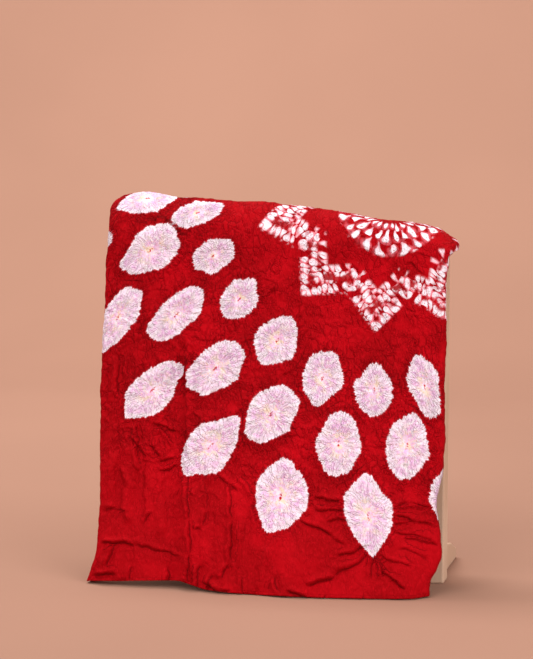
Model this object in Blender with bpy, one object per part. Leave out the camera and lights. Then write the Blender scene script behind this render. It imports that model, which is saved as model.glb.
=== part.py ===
"""Bandhani cloth draped over a plain upright board with a crest rail and two rear feet.

The front of everything faces -Y and the board stands on the floor at the origin.
Sizes are in millimetres and turned to metres as each mesh is made.
"""

import bisect
import math

import bmesh
import bpy
from mathutils import Vector

MM = 0.001
GAP = 0.3

# Stand
BOARD_WIDTH = 541.0
BOARD_THICKNESS = 38.0
BOARD_FACE = -BOARD_THICKNESS / 2.0
RAIL_RADIUS = 40.0
RAIL_LENGTH = 470.0
RAIL_TOP = 572.0
RAIL_BASE = RAIL_TOP - RAIL_RADIUS
BOARD_HEIGHT = RAIL_BASE - GAP
BOARD_EDGE = 3.0
RAIL_EDGE = 4.0
RAIL_SIDES = 24
EDGE_SEGMENTS = 2
EDGE_LIMIT = 35.0

FOOT_WIDTH = 28.0
FOOT_MIDDLE = 246.0
FOOT_EDGE = 2.5

# Top line of a foot: how far behind the board, height
FOOT_COLUMNS = ("reach", "height")
FOOT = ((166, 0), (166, 17), (157, 21), (115, 36), (0, 56))

# Cloth, measured on its middle surface
CLOTH_THICKNESS = 2.0
FLOOR_CLEARANCE = 0.5
BEND_FRONT = 44.0
BEND_BACK = 44.0
BEND_LEVEL = RAIL_BASE
BACK_HEM = 118.0
BACK_LEAN = 16.0

# How the cloth's top line runs: place across, height
RIDGE_COLUMNS = ("across", "height")
RIDGE = (
    (-292, 612),
    (-270, 624),
    (-243, 627),
    (-200, 622),
    (-160, 618),
    (-60, 615),
    (27, 609),
    (93, 599),
    (172, 587),
    (224, 581),
    (250, 577),
    (276, 563),
    (292, 553),
)

# How the front hem lies: place across, how far it stands in front of the board, height
HEM_COLUMNS = ("across", "forward", "height")
HEM = (
    (-292, 137, 5),
    (-240, 139, 8),
    (-186, 141, 12),
    (-137, 142, 15),
    (-112, 145, 10),
    (-85, 147, 4),
    (-40, 150, 2),
    (20, 151, 2),
    (83, 148, 2),
    (160, 137, 2),
    (236, 121, 2),
    (262, 101, 3),
)

# How the front falls: share of the drop, share of the hem's stand-off
FALL_COLUMNS = ("drop", "flare")
FALL = ((0.0, 0.0), (0.15, 0.11), (0.42, 0.34), (0.7, 0.62), (0.87, 0.85), (1.0, 1.0))

# The cloth's two sides on the front: height, left side, right side
SIDE_COLUMNS = ("height", "left", "right")
SIDES = (
    (0, -294, 262),
    (24, -286, 263),
    (45, -280, 273),
    (70, -279, 279),
    (105, -279, 276),
    (143, -280, 268),
    (165, -282, 271),
    (200, -284, 276),
    (240, -287, 277),
    (340, -291, 274),
    (390, -290, 275),
    (450, -290, 274),
    (490, -291, 274),
    (512, -291, 276),
    (560, -288, 281),
    (620, -292, 290),
)

# The cloth's two sides past the top: place along the cloth, left side, right side
BACK_SIDE_COLUMNS = ("along", "left", "right")
BACK_SIDES = ((1.5, -290, 290), (1.8, -290, 262), (2.0, -289, 250), (3.0, -286, 238))

# Depth of the margin turned back at each side: place along the cloth, left, right
MARGIN_COLUMNS = ("along", "left", "right")
MARGINS = (
    (0.0, 26, 12),
    (0.3, 34, 16),
    (0.8, 34, 14),
    (1.0, 30, 12),
    (1.5, 24, 13),
    (2.0, 18, 8),
    (3.0, 12, 8),
)
TURN_RADIUS = 5.0

# Long folds: end heights, place across at each end, half width, rise (a trough is negative)
FOLD_COLUMNS = ("top", "bottom", "across_top", "across_bottom", "half_width", "rise")
FOLDS = (
    (440, 0, -166, -146, 24, -7),
    (220, 0, -128, -127, 16, 7),
    (190, 25, -56, -58, 20, 6),
    (430, 60, -262, -262, 12, 3),
    (420, 80, -232, -236, 13, 3),
    (400, 60, -204, -210, 14, 3),
    (230, 10, 150, 40, 22, 4),
)
FOLD_ONSET = 2.5
FOLD_TAIL = 1.2
FOLD_FADE = 8.0

# Short level folds at the right: height, place across from and to, half width, rise
CREASE_COLUMNS = ("height", "start", "end", "half_width", "rise")
CREASES = ((158, 190, 268, 8, 4), (128, 200, 270, 9, 4), (100, 190, 276, 9, 3))
CREASE_SLOPE = 0.05
CREASE_ONSET = 3.0

# The cloth's mesh
COLUMNS_FLAT = 34
COLUMNS_TURN = 2
COLUMNS_MARGIN = 2
ROWS_FRONT = 20
ROWS_BEND = 10
ROWS_BACK = 9
ROWS_CROWDING = 0.3
FRONT, TOP, CREST, BACK, END = 0.0, 1.0, 1.5, 2.0, 3.0
ALONG_STEP = 0.004

CLOTH_RED = (0.47, 0.004, 0.012, 1.0)
CLOTH_ROUGHNESS = 0.7
STAND_CREAM = (0.62, 0.45, 0.33, 1.0)
STAND_ROUGHNESS = 0.6


def smooth(share):
    """Ease from 0 to 1 with level ends."""
    share = min(max(share, 0.0), 1.0)
    return share * share * (3.0 - 2.0 * share)


def read(rows, key, column):
    """Value of a table's column at a key, on a curve that never overshoots its rows."""
    keys = [row[0] for row in rows]
    if key <= keys[0]:
        return float(rows[0][column])
    if key >= keys[-1]:
        return float(rows[-1][column])
    low = bisect.bisect_right(keys, key) - 1
    steps = []
    for index in range(max(low - 1, 0), min(low + 2, len(rows) - 1)):
        rise = rows[index + 1][column] - rows[index][column]
        steps.append((index, rise / (keys[index + 1] - keys[index])))
    slope = dict(steps)

    def tangent(index):
        before, after = slope.get(index - 1), slope.get(index)
        if before is None or after is None:
            return after if before is None else before
        return 0.0 if before * after <= 0.0 else 2.0 * before * after / (before + after)

    span = keys[low + 1] - keys[low]
    at = (key - keys[low]) / span
    value = (2.0 * at**3 - 3.0 * at**2 + 1.0) * rows[low][column]
    value += (at**3 - 2.0 * at**2 + at) * span * tangent(low)
    value += (3.0 * at**2 - 2.0 * at**3) * rows[low + 1][column]
    value += (at**3 - at**2) * span * tangent(low + 1)
    return value


def hang_line(across, along):
    """Smooth middle line of the cloth at a place across: returns depth and height."""
    ridge = read(RIDGE, across, 1)
    if along <= TOP:
        hem = read(HEM, across, 2)
        drop = 1.0 - along
        flare = read(FALL, drop, 1)
        stand = BEND_FRONT + BOARD_FACE
        forward = stand + (read(HEM, across, 1) - stand) * flare
        return BOARD_FACE - forward, hem + (BEND_LEVEL - hem) * along
    if along <= BACK:
        angle = math.pi * (along - TOP)
        reach = BEND_FRONT if angle < math.pi / 2.0 else BEND_BACK
        return -reach * math.cos(angle), BEND_LEVEL + (ridge - BEND_LEVEL) * math.sin(angle)
    down = along - BACK
    return BEND_BACK + BACK_LEAN * down * down, BEND_LEVEL - (BEND_LEVEL - BACK_HEM) * down


def outward(across, along):
    """Unit direction out of the cloth's outer face, in depth and height."""
    before = hang_line(across, max(along - ALONG_STEP, FRONT))
    after = hang_line(across, min(along + ALONG_STEP, END))
    run_y, run_z = after[0] - before[0], after[1] - before[1]
    length = math.hypot(run_y, run_z)
    return -run_z / length, run_y / length


def fold_height(across, height):
    """How far the main folds lift the front face at a place."""
    lift = 0.0
    for top, bottom, across_top, across_bottom, half_width, rise in FOLDS:
        share = (top - height) / (top - bottom)
        if share <= 0.0 or share > FOLD_TAIL:
            continue
        middle = across_top + (across_bottom - across_top) * share
        off = (across - middle) / half_width
        lift += rise * math.exp(-off * off) * smooth(share * FOLD_ONSET)
    for level, start, end, half_width, rise in CREASES:
        off = (height - level - CREASE_SLOPE * (across - start)) / half_width
        along = (across - start) / (end - start)
        lift += rise * math.exp(-off * off) * smooth(along * CREASE_ONSET)
    return lift


def sides(along, height):
    """Left and right side of the cloth at a place along it."""
    if along <= CREST:
        return read(SIDES, height, 1), read(SIDES, height, 2)
    return read(BACK_SIDES, along, 1), read(BACK_SIDES, along, 2)


def column_places():
    """(share of the flat width or None, margin share, side) for each column, left to right."""
    turn = [(0.5 * (index + 1) / COLUMNS_TURN) for index in range(COLUMNS_TURN)]
    margin = [0.5 + 0.5 * (index + 1) / COLUMNS_MARGIN for index in range(COLUMNS_MARGIN)]
    beyond = turn + margin
    places = [(0.0, share, -1) for share in reversed(beyond)]
    places += [(index / COLUMNS_FLAT, 0.0, 0) for index in range(COLUMNS_FLAT + 1)]
    places += [(1.0, share, 1) for share in beyond]
    return places


def cloth_point(place, along):
    """Point of the cloth's middle surface for one column at a place along the cloth."""
    share, beyond, side = place
    height = hang_line(0.0, along)[1]
    left, right = sides(along, height)
    inner_left, inner_right = left + TURN_RADIUS, right - TURN_RADIUS
    across = inner_left + (inner_right - inner_left) * share
    inward = 0.0
    if side:
        depth = read(MARGINS, along, 1 if side < 0 else 2)
        angle = min(beyond * 2.0, 1.0) * math.pi / 2.0
        across += side * TURN_RADIUS * math.sin(angle)
        inward = TURN_RADIUS * (1.0 - math.cos(angle))
        inward += max(beyond * 2.0 - 1.0, 0.0) * (depth - TURN_RADIUS)
    y, z = hang_line(across, along)
    out_y, out_z = outward(across, along)
    lift = fold_height(across, z) * smooth((TOP - along) * FOLD_FADE) - inward
    z_low = CLOTH_THICKNESS / 2.0 + FLOOR_CLEARANCE
    return Vector((across, y + out_y * lift, max(z + out_z * lift, z_low)))


def along_places():
    """Places along the cloth, from the front hem over the top to the back hem."""
    places = [smooth_rows(index / ROWS_FRONT) for index in range(ROWS_FRONT)]
    places += [TOP + index / ROWS_BEND for index in range(ROWS_BEND)]
    places += [BACK + index / ROWS_BACK for index in range(ROWS_BACK + 1)]
    return places


def smooth_rows(share):
    """Place rows a little closer near the hem, where the folds are."""
    return share * (1.0 - ROWS_CROWDING + ROWS_CROWDING * share)


def add_material(obj, name, colour, roughness):
    """Give an object a plain principled finish."""
    material = bpy.data.materials.new(name)
    material.use_nodes = True
    shader = material.node_tree.nodes["Principled BSDF"]
    shader.inputs["Base Color"].default_value = colour
    shader.inputs["Roughness"].default_value = roughness
    obj.data.materials.append(material)


def make_object(name, bm, colour, roughness):
    """Turn a bmesh in millimetres into a named object in metres."""
    bmesh.ops.recalc_face_normals(bm, faces=bm.faces)
    bmesh.ops.scale(bm, vec=(MM, MM, MM), verts=bm.verts)
    mesh = bpy.data.meshes.new(name)
    bm.to_mesh(mesh)
    bm.free()
    obj = bpy.data.objects.new(name, mesh)
    bpy.context.scene.collection.objects.link(obj)
    add_material(obj, name + "_finish", colour, roughness)
    return obj


def add_edge(obj, width):
    """Soften an object's sharp edges."""
    edge = obj.modifiers.new("edge", "BEVEL")
    edge.width = width * MM
    edge.segments = EDGE_SEGMENTS
    edge.limit_method = "ANGLE"
    edge.angle_limit = math.radians(EDGE_LIMIT)


def make_cloth():
    """The draped sheet as one closed solid: an outer and an inner skin joined at the rim."""
    places = column_places()
    rows = along_places()
    grid = [[cloth_point(place, along) for place in places] for along in rows]
    last_row, last_column = len(rows) - 1, len(places) - 1
    skins = ([], [])
    bm = bmesh.new()
    for i in range(last_row + 1):
        lines = ([], [])
        for j in range(last_column + 1):
            up = grid[min(i + 1, last_row)][j] - grid[max(i - 1, 0)][j]
            right = grid[i][min(j + 1, last_column)] - grid[i][max(j - 1, 0)]
            normal = right.cross(up).normalized()
            for line, half in zip(lines, (CLOTH_THICKNESS / 2.0, -CLOTH_THICKNESS / 2.0)):
                line.append(bm.verts.new(grid[i][j] + normal * half))
        skins[0].append(lines[0])
        skins[1].append(lines[1])
    for i in range(last_row):
        for j in range(last_column):
            for skin in skins:
                corners = (skin[i][j], skin[i][j + 1], skin[i + 1][j + 1], skin[i + 1][j])
                bm.faces.new(corners)
    rim = [(0, j) for j in range(last_column)]
    rim += [(i, last_column) for i in range(last_row)]
    rim += [(last_row, j) for j in range(last_column, 0, -1)]
    rim += [(i, 0) for i in range(last_row, 0, -1)]
    for (i, j), (k, m) in zip(rim, rim[1:] + rim[:1]):
        outer, inner = skins
        bm.faces.new((outer[i][j], outer[k][m], inner[k][m], inner[i][j]))
    return make_object("cloth", bm, CLOTH_RED, CLOTH_ROUGHNESS)


def make_box(name, low, high, colour):
    """A plain block between two corners."""
    bm = bmesh.new()
    bmesh.ops.create_cube(bm, size=1.0)
    size = [high[k] - low[k] for k in range(3)]
    middle = [(high[k] + low[k]) / 2.0 for k in range(3)]
    bmesh.ops.scale(bm, vec=size, verts=bm.verts)
    bmesh.ops.translate(bm, vec=middle, verts=bm.verts)
    return make_object(name, bm, colour, STAND_ROUGHNESS)


def make_prism(name, outline, low, high):
    """A block with one outline in depth and height, between two places across."""
    bm = bmesh.new()
    ends = [[bm.verts.new((x, y, z)) for y, z in outline] for x in (low, high)]
    bm.faces.new(ends[0])
    bm.faces.new(ends[1])
    for index in range(len(outline)):
        after = (index + 1) % len(outline)
        bm.faces.new((ends[0][index], ends[0][after], ends[1][after], ends[1][index]))
    return make_object(name, bm, STAND_CREAM, STAND_ROUGHNESS)


def make_board():
    """The upright board."""
    half = BOARD_WIDTH / 2.0
    low = (-half, BOARD_FACE, 0.0)
    high = (half, -BOARD_FACE, BOARD_HEIGHT)
    obj = make_box("board", low, high, STAND_CREAM)
    add_edge(obj, BOARD_EDGE)
    return obj


def make_crest_rail():
    """The half-round rail along the board's top."""
    outline = []
    for index in range(RAIL_SIDES + 1):
        angle = math.pi * index / RAIL_SIDES
        outline.append((RAIL_RADIUS * math.cos(angle), RAIL_BASE + RAIL_RADIUS * math.sin(angle)))
    obj = make_prism("crest_rail", outline, -RAIL_LENGTH / 2.0, RAIL_LENGTH / 2.0)
    add_edge(obj, RAIL_EDGE)
    return obj


def make_foot(name, middle):
    """One wedge foot behind the board."""
    near = -BOARD_FACE + GAP
    outline = [(near, 0.0)] + [(near + reach, height) for reach, height in FOOT]
    obj = make_prism(name, outline, middle - FOOT_WIDTH / 2.0, middle + FOOT_WIDTH / 2.0)
    add_edge(obj, FOOT_EDGE)
    return obj


def main():
    """Clear the file and build every sub-part."""
    for obj in list(bpy.data.objects):
        bpy.data.objects.remove(obj, do_unlink=True)
    make_cloth()
    make_board()
    make_crest_rail()
    make_foot("foot_left", -FOOT_MIDDLE)
    make_foot("foot_right", FOOT_MIDDLE)


main()
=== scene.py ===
import logging
import math
from dataclasses import dataclass, field
from enum import Enum

import bpy
import numpy as np
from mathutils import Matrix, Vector


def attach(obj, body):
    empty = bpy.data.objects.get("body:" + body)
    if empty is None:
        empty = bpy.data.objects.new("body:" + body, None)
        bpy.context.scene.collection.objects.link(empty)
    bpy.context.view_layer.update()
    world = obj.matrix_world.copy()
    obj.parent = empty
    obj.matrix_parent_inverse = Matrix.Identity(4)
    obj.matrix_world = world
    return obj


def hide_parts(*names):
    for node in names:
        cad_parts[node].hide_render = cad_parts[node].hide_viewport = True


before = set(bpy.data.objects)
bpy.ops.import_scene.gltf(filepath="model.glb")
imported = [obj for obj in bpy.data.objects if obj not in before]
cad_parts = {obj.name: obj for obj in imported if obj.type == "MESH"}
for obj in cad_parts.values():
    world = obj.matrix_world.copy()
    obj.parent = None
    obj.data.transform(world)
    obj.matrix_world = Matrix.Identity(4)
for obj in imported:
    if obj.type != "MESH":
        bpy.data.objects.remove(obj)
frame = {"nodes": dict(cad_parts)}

MM = 0.001
Colour = tuple[float, float, float]
Place = tuple[float, float, float]
LOG = logging.getLogger("bandhani")


class Pattern(Enum):
    """Names of the mesh attributes that the cloth's finish reads."""

    FLAT = "flat"
    OVAL = "oval"
    OVAL_EDGE = "oval_edge"
    KNOT = "knot"
    CREASE = "crease"
    HEM = "hem"


@dataclass(frozen=True)
class Table:
    """Rows of named columns, read along the first column on a curve that never overshoots."""

    columns: tuple[str, ...]
    rows: tuple[tuple[float, ...], ...]

    def read(self, key: np.ndarray, column: str) -> np.ndarray:
        """Read one column at many keys.

        Args:
            key: values along the first column.
            column: name of the column to read.

        Returns:
            The column's value at each key.
        """
        keys = np.array([row[0] for row in self.rows], float)
        values = np.array([row[self.columns.index(column)] for row in self.rows], float)
        slope = np.diff(values) / np.diff(keys)
        before, after = slope[:-1], slope[1:]
        total = np.where(np.abs(before + after) < 1e-9, 1.0, before + after)
        inner = np.where(before * after > 0.0, 2.0 * before * after / total, 0.0)
        tangent = np.concatenate(([slope[0]], inner, [slope[-1]]))
        at = np.clip(key, keys[0], keys[-1])
        low = np.clip(np.searchsorted(keys, at, side="right") - 1, 0, len(keys) - 2)
        span = keys[low + 1] - keys[low]
        t = (at - keys[low]) / span
        value = (2.0 * t**3 - 3.0 * t**2 + 1.0) * values[low]
        value += (t**3 - 2.0 * t**2 + t) * span * tangent[low]
        value += (3.0 * t**2 - 2.0 * t**3) * values[low + 1]
        return value + (t**3 - t**2) * span * tangent[low + 1]


def ease(share: np.ndarray) -> np.ndarray:
    """Ease from 0 to 1 with level ends."""
    held = np.clip(share, 0.0, 1.0)
    return held * held * (3.0 - 2.0 * held)


@dataclass(frozen=True)
class Ripple:
    """Seeded smooth noise over the flat cloth."""

    seed: int
    size: float
    cells: int = 64
    start: tuple[float, float] = (31.7, 17.3)
    gain: float = 1.6

    def at(self, across: np.ndarray, down: np.ndarray, stretch: float = 1.0) -> np.ndarray:
        """Noise between about -1 and 1.

        Args:
            across: place across the cloth, in millimetres.
            down: place down the cloth, in millimetres.
            stretch: how much longer the ripples are down the cloth than across it.

        Returns:
            The noise at each place.
        """
        turn = np.random.default_rng(self.seed).uniform(0, 2 * math.pi, (self.cells, self.cells))
        x = across / self.size + self.start[0]
        y = down / (self.size * stretch) + self.start[1]
        column, row = np.floor(x).astype(int), np.floor(y).astype(int)
        u, v = x - column, y - row
        fade_u = u * u * u * (u * (u * 6.0 - 15.0) + 10.0)
        fade_v = v * v * v * (v * (v * 6.0 - 15.0) + 10.0)
        total = np.zeros_like(x)
        for i in (0, 1):
            for j in (0, 1):
                angle = turn[(column + i) % self.cells, (row + j) % self.cells]
                pull = np.cos(angle) * (u - i) + np.sin(angle) * (v - j)
                share = (fade_u if i else 1.0 - fade_u) * (fade_v if j else 1.0 - fade_v)
                total += pull * share
        return total * self.gain


@dataclass(frozen=True)
class Oval:
    """One tied oval, in millimetres on the flat cloth: its middle, size, lean and shape."""

    across: float
    down: float
    length: float
    width: float
    lean: float
    roundness: float
    egg: float
    seed: int


@dataclass
class OvalField:
    """The tied ovals, and where each place of the cloth lies on its nearest one."""

    columns: tuple[str, ...] = (
        "across",
        "down",
        "length",
        "width",
        "lean",
        "roundness",
        "egg",
    )
    rows: tuple[tuple[float, ...], ...] = (
        (-227, 18, 98, 58, 70, 1.7, 0),
        (-138, 38, 94, 42, 69, 1.7, -0.1),
        (-214, 107, 120, 66, 54, 1.75, 0.15),
        (-107, 107, 74, 52, 60, 1.9, 0),
        (-264, 219, 111, 60, 34, 1.9, 0),
        (-166, 207, 124, 54, 44, 1.9, 0.1),
        (-61, 176, 78, 56, 40, 1.8, 0.1),
        (5, 237, 92, 68, 29, 1.6, -0.1),
        (-199, 333, 130, 60, 42, 1.9, -0.12),
        (-95, 290, 115, 68, 53, 1.85, 0.1),
        (1, 357, 114, 70, 37, 1.8, 0.1),
        (-96, 416, 130, 74, 43, 1.6, -0.12),
        (82, 286, 90, 66, 18, 1.7, 0.1),
        (166, 292, 87, 61, 4, 1.65, -0.1),
        (246, 274, 98, 50, -15, 1.8, 0.12),
        (114, 386, 109, 73, 6, 1.55, -0.08),
        (222, 373, 107, 71, 8, 1.55, -0.1),
        (25, 486, 128, 88, 14, 1.45, 0.12),
        (167, 492, 124, 76, -9, 1.6, 0.28),
        (289, 438, 80, 62, -6, 1.8, 0),
        (-300, 84, 44, 34, 40, 2.0, 0),
        (-160, -6, 26, 12, 80, 2.0, 0),
    )
    uneven: float = 0.052
    facets: float = 0.07

    def ovals(self) -> list[Oval]:
        """The table's rows as ovals, each with its own seed."""
        return [Oval(*row, seed=100 + index) for index, row in enumerate(self.rows)]

    def place(self, oval: Oval, across: np.ndarray, down: np.ndarray) -> tuple[np.ndarray, ...]:
        """Where places lie on one oval.

        Args:
            oval: the oval.
            across: places across the cloth, in millimetres.
            down: places down the cloth, in millimetres.

        Returns:
            Share of the half length and of the half width, and distance past the outline.
        """
        lean = math.radians(oval.lean)
        x, up = across - oval.across, oval.down - down
        long = x * math.sin(lean) + up * math.cos(lean)
        wide = x * math.cos(lean) - up * math.sin(lean)
        a = long / (oval.length / 2.0)
        b = wide / (oval.width / 2.0) / (1.0 + oval.egg * np.clip(a, -1.0, 1.0))
        rng = np.random.default_rng(oval.seed)
        angle = np.arctan2(b, a)
        swell = np.full(a.shape, 1.0 + 0.6 * self.facets)
        corners = rng.choice((2.5, 3.0, 3.5))
        swell -= self.facets * np.abs(np.sin(corners * angle + rng.uniform(0, math.pi)))
        for wave in (2, 3, 4, 5, 7):
            size = self.uneven * rng.uniform(0.4, 1.0) / math.sqrt(wave)
            swell += size * np.cos(wave * angle + rng.uniform(0, 2 * math.pi))
        power = oval.roundness
        reach = (np.abs(a) ** power + np.abs(b) ** power) ** (1.0 / power) / swell
        radius = np.hypot(long, wide)
        past = radius - radius / np.maximum(reach, 1e-3)
        past = np.where(reach < 0.05, -oval.width / 2.0, past)
        return a, b, past

    def nearest(self, across: np.ndarray, down: np.ndarray) -> tuple[np.ndarray, ...]:
        """Find each place's nearest oval.

        Args:
            across: places across the cloth, in millimetres.
            down: places down the cloth, in millimetres.

        Returns:
            Shares of its half length and half width, its number, and the distance past it.
        """
        best = np.full(across.shape, 1e9)
        a_best, b_best, number = (np.zeros(across.shape) for _ in range(3))
        for index, oval in enumerate(self.ovals()):
            a, b, past = self.place(oval, across, down)
            closer = past < best
            best = np.where(closer, past, best)
            a_best = np.where(closer, a, a_best)
            b_best = np.where(closer, b, b_best)
            number = np.where(closer, float(index), number)
        return a_best, b_best, number, best


@dataclass
class StarMotif:
    """A ten-pointed star of tied knots round a half burst, in millimetres on the flat cloth."""

    across: float = 165.0
    down: float = -8.0
    tip_radius: float = 208.0
    notch_radius: float = 160.0
    points: int = 10
    ring_depth: float = 44.0
    row_pitch: float = 17.5
    knot_pitch: float = 9.0
    burst_inner: float = 24.0
    burst_outer: float = 87.0
    burst_pitch: float = 21.0
    burst_columns: int = 23
    burst_shift: float = 12.0
    burst_margin: float = 7.0
    burst_first_column: float = 40.0
    burst_first_row: float = 20.0
    outer_blur: float = 2.0
    inner_blur: float = 6.0
    gap_seed: int = 61
    gap_size: float = 15.0
    gap_share: float = 0.97

    def knots(self, across: np.ndarray, down: np.ndarray) -> tuple[np.ndarray, ...]:
        """Knot coordinates: along the row, across the rows, and how much knots show.

        Args:
            across: places across the cloth, in millimetres.
            down: places down the cloth, in millimetres.

        Returns:
            Knots along, rows across, the share from 0 to 1, and 1 inside the burst.
        """
        x, y = across - self.across, down - self.down
        radius, turn = np.hypot(x, y), np.arctan2(x, y)
        step = 2.0 * math.pi / self.points
        fold = np.abs((turn / step + 0.5) % 1.0 - 0.5) * step
        tip = np.array([self.tip_radius, 0.0])
        notch = self.notch_radius * np.array([math.cos(step / 2), math.sin(step / 2)])
        run = (notch - tip) / np.linalg.norm(notch - tip)
        px, py = radius * np.cos(fold), radius * np.sin(fold)
        along = (px - tip[0]) * run[0] + (py - tip[1]) * run[1]
        inside = (tip[0] - px) * run[1] + py * run[0]
        to_inner = self.ring_depth - inside
        in_ring = ease(inside / self.outer_blur + 0.5) * ease(to_inner / self.inner_blur + 0.5)
        middle = 1.0 - np.abs(2.0 * inside / self.ring_depth - 1.0)
        chance = Ripple(self.gap_seed, self.gap_size).at(across, down)
        gap = ease((middle - 0.3) / 0.3) * ease((chance - 0.05) / 0.2)
        in_ring = in_ring * (1.0 - self.gap_share * gap)
        burst_x = x - self.burst_shift
        reach, heading = np.hypot(burst_x, y), np.arctan2(burst_x, y)
        burst = ease((self.burst_outer - reach) / 2.5)
        burst = burst * ease((reach - self.burst_inner) / 5.0)
        in_burst = reach < (self.burst_outer + self.burst_margin)
        column = heading / (2.0 * math.pi) * self.burst_columns + self.burst_first_column
        knots = np.where(in_burst, column, along / self.knot_pitch)
        ring = (reach - self.burst_inner) / self.burst_pitch + self.burst_first_row
        rows = np.where(in_burst, ring, inside / self.row_pitch)
        return knots, rows, np.where(in_burst, burst, in_ring), in_burst.astype(float)


@dataclass
class Creases:
    """Listed folds and small seeded ones, in millimetres on the flat cloth."""

    columns: tuple[str, ...] = ("across", "down", "to_across", "to_down", "half_width", "rise")
    rows: tuple[tuple[float, ...], ...] = (
        (-137, 466, -126, 538, 3.0, 4.6),
        (-126, 538, -120, 594, 3.0, 5.0),
        (-120, 594, -123, 640, 3.0, 5.0),
        (-64, 469, -54, 533, 3.4, 3.0),
        (-54, 533, -52, 600, 3.6, 4.4),
        (-53, 600, -70, 630, 3.6, 4.4),
        (-78, 459, -42, 483, 3.0, 2.6),
        (-50, 459, -21, 493, 3.0, 2.6),
        (-106, 475, -98, 519, 2.8, 2.2),
        (-98, 519, -102, 548, 2.8, 2.4),
        (-118, 549, -100, 548, 2.8, 2.4),
        (-228, 392, -219, 464, 3.6, 3.4),
        (-193, 382, -156, 394, 3.2, 3.4),
        (-188, 389, -163, 419, 3.2, 3.4),
        (-198, 416, -173, 440, 3.2, 3.2),
        (-233, 414, -197, 444, 3.2, 2.8),
        (-186, 446, -158, 436, 3.0, 2.6),
        (-183, 462, -152, 447, 3.0, 2.6),
        (-268, 586, -209, 585, 3.0, 4.2),
        (-209, 585, -135, 592, 3.0, 2.2),
        (-270, 526, -224, 535, 3.0, 2.4),
        (-152, 250, -149, 330, 4.5, -3.4),
        (-149, 330, -143, 436, 4.5, -4.0),
        (-143, 262, -138, 330, 3.6, 2.4),
        (-160, 616, -158, 650, 4.0, 3.0),
        (-104, 606, -109, 648, 3.8, 3.2),
        (-84, 622, -88, 650, 3.4, 2.8),
        (-34, 620, -30, 650, 4.0, 2.6),
        (-220, 620, -224, 650, 4.0, 2.6),
        (-254, 586, -262, 632, 4.0, 3.0),
        (104, 624, 100, 650, 4.0, 2.6),
        (160, 612, 166, 640, 4.0, 1.8),
        (-249, 470, -242, 553, 7.5, -4.2),
        (-212, 465, -206, 545, 6.5, -4.4),
        (-230, 480, -226, 556, 6.5, 2.4),
        (-205, 552, -187, 528, 3.2, 2.6),
        (-281, 637, -238, 638, 3.2, 3.4),
        (-90, 630, -62, 648, 3.4, 4.0),
        (-62, 648, -46, 642, 3.4, 3.2),
        (203, 466, 230, 458, 3.2, 2.6),
        (230, 458, 262, 457, 3.2, 2.4),
        (206, 470, 262, 463, 3.0, 1.9),
        (208, 480, 242, 486, 3.2, 2.9),
        (242, 486, 268, 481, 3.2, 2.7),
        (204, 498, 264, 480, 3.0, 1.9),
        (209, 511, 269, 507, 3.2, 2.4),
        (220, 519, 274, 511, 3.2, 2.4),
        (215, 534, 262, 540, 3.2, 1.8),
        (78, 475, 129, 471, 3.2, 3.2),
        (80, 491, 133, 486, 3.2, 3.2),
        (98, 508, 140, 498, 3.0, 2.4),
        (72, 617, 116, 591, 4.2, 4.4),
        (116, 591, 167, 550, 4.0, 3.1),
        (120, 560, 171, 534, 3.4, 2.6),
        (174, 552, 172, 592, 3.2, 2.6),
        (178, 552, 194, 590, 3.2, 2.6),
        (181, 554, 206, 582, 3.4, 2.9),
        (206, 582, 232, 600, 3.6, 3.0),
        (194, 573, 224, 592, 3.0, 1.9),
        (190, 548, 236, 562, 3.0, 1.8),
        (62, 516, 112, 532, 3.4, 3.0),
        (112, 532, 134, 542, 3.2, 1.9),
        (49, 626, 78, 637, 3.6, 4.2),
        (20, 614, 32, 641, 3.4, 3.4),
        (258, 580, 266, 616, 3.6, 2.4),
        (62, 478, 76, 470, 3.0, 2.4),
        (-36, 520, -44, 610, 7.0, 2.2),
        (10, 570, -4, 640, 8.0, 2.2),
        (-226, 430, -216, 505, 7.5, 3.0),
        (-182, 468, -168, 566, 8.0, 2.6),
        (-259, 440, -259, 512, 6.5, 2.2),
        (-101, 520, -90, 606, 7.5, 2.2),
        (-268, 280, -262, 352, 5.0, 3.4),
        (-250, 286, -246, 320, 4.0, 2.2),
        (-166, 268, -160, 316, 3.6, 2.6),
        (-150, 262, -144, 300, 3.6, 2.4),
    )
    hollow: float = 0.65
    strength: float = 1.5
    small: int = 280
    small_length: tuple[float, float] = (12.0, 38.0)
    small_rise: tuple[float, float] = (0.5, 1.4)
    small_width: float = 1.9
    small_lean: float = 0.42
    small_sideways: float = 0.22
    gather: float = 46.0
    stray: float = 0.3
    keep_off: float = 2.0
    broad: float = 5.5
    sway: float = 4.0
    sway_size: float = 26.0
    tremble: float = 1.3
    tremble_size: float = 9.0
    end_length: float = 10.0
    hollow_place: float = 1.6
    line_place: float = 1.25
    wide: tuple[float, float] = (-280.0, 272.0)
    tall: tuple[float, float] = (20.0, 500.0)

    def every_row(self, ties: OvalField) -> list[tuple[float, ...]]:
        """List the given folds, then small ones that mostly run down the cloth.

        Args:
            ties: the tied ovals, which the small folds keep off and gather round.

        Returns:
            The rows of all the folds.
        """
        rng = np.random.default_rng(77)
        rows = list(self.rows)
        while len(rows) < len(self.rows) + self.small:
            x, y = rng.uniform(*self.wide), rng.uniform(*self.tall)
            lean = rng.normal(0.0, self.small_lean)
            lean += math.pi / 2.0 * (rng.uniform() < self.small_sideways)
            length, rise = rng.uniform(*self.small_length), rng.uniform(*self.small_rise)
            past = ties.nearest(np.array([x]), np.array([y]))[3][0]
            gathered = past < self.gather or rng.uniform() < self.stray
            if past > self.keep_off and gathered:
                to = (x + length * math.sin(lean), y + length * math.cos(lean))
                rows.append((x, y, *to, self.small_width, rise))
        return rows

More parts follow.
